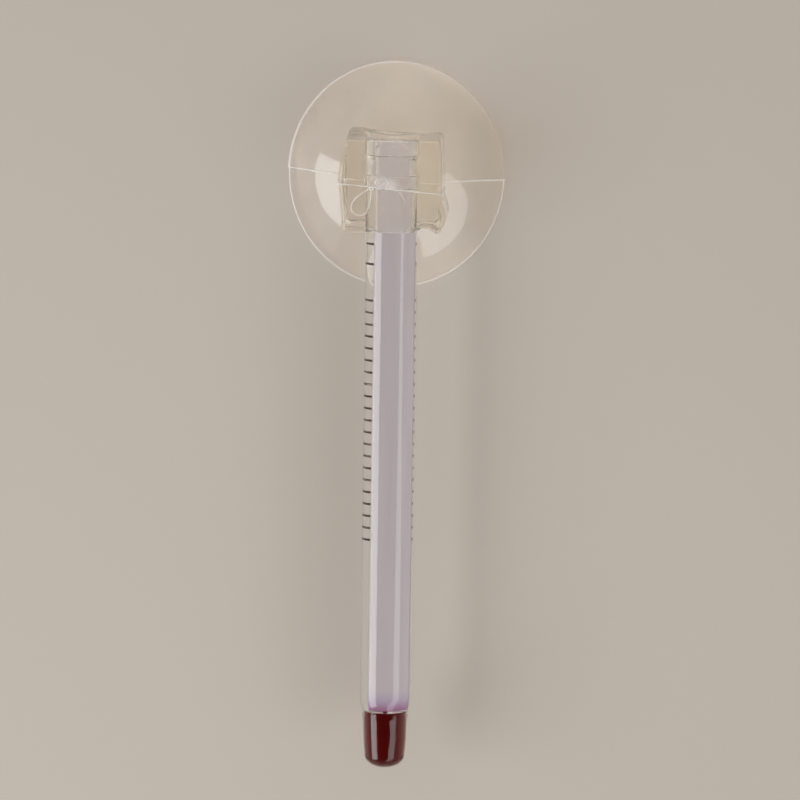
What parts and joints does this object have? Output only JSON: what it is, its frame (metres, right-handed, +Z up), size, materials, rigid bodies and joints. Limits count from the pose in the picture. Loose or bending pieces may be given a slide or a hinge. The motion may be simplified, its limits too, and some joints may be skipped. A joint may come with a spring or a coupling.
{
  "type": "aquarium glass thermometer",
  "caption": "Slim glass stem thermometer with a red liquid bulb, a white opal strip and a printed scale, gripped through the block of a clear suction cup.",
  "frame": {"origin": "centre of the suction face, on the plane of the cup's rim", "axes": "+Z up the stem towards its sealed end, with the bulb at the bottom; +Y out of the suction face, towards the tank wall; +X to the right for a viewer who faces the tank wall from inside the tank"},
  "size_m": [0.022, 0.0104, 0.07],
  "materials": {
    "clear_pvc": "clear soft PVC, slightly warm, glossy with faint flow marks and a mould parting line",
    "clear_glass": "clear drawn glass, fire polished",
    "opal_white": "white opal glass strip, faintly lilac, sealed inside the stem",
    "red_liquid": "deep red dyed spirit, clear",
    "fired_ink": "dark brown fired ink, thin at its edges"
  },
  "bodies": {
    "skirt": {"suction_disc": "clear_pvc"},
    "grip": {"grip_block": "clear_pvc"},
    "charge": {"bulb_liquid": "red_liquid"},
    "stem": {"glass_stem": "clear_glass", "white_strip": "opal_white", "glass_bulb": "clear_glass", "scale_lines": "fired_ink", "scale_numerals": "fired_ink", "unit_mark": "fired_ink"},
    "column": {"liquid_column": "red_liquid"}
  },
  "joints": [
    {"name": "cup_press", "type": "slide", "parent": "skirt", "child": "grip", "axis": [0, 1, 0], "range_m": [0, 0.0018], "stiffness_N_per_m": 600, "deforming": ["suction_disc"]},
    {"name": "stem_slide", "type": "slide", "parent": "grip", "child": "charge", "axis": [0, 0, 1], "range_m": [-0.004, 0.046]},
    {"name": "stem_turn", "type": "hinge", "parent": "charge", "child": "stem", "pos_m": [0, -0.007, 0], "axis": [0, 0, 1], "continuous": true},
    {"name": "temperature", "type": "slide", "parent": "charge", "child": "column", "axis": [0, 0, 1], "range_m": [-0.01445, 0.00963], "deforming": ["liquid_column"]}
  ]
}
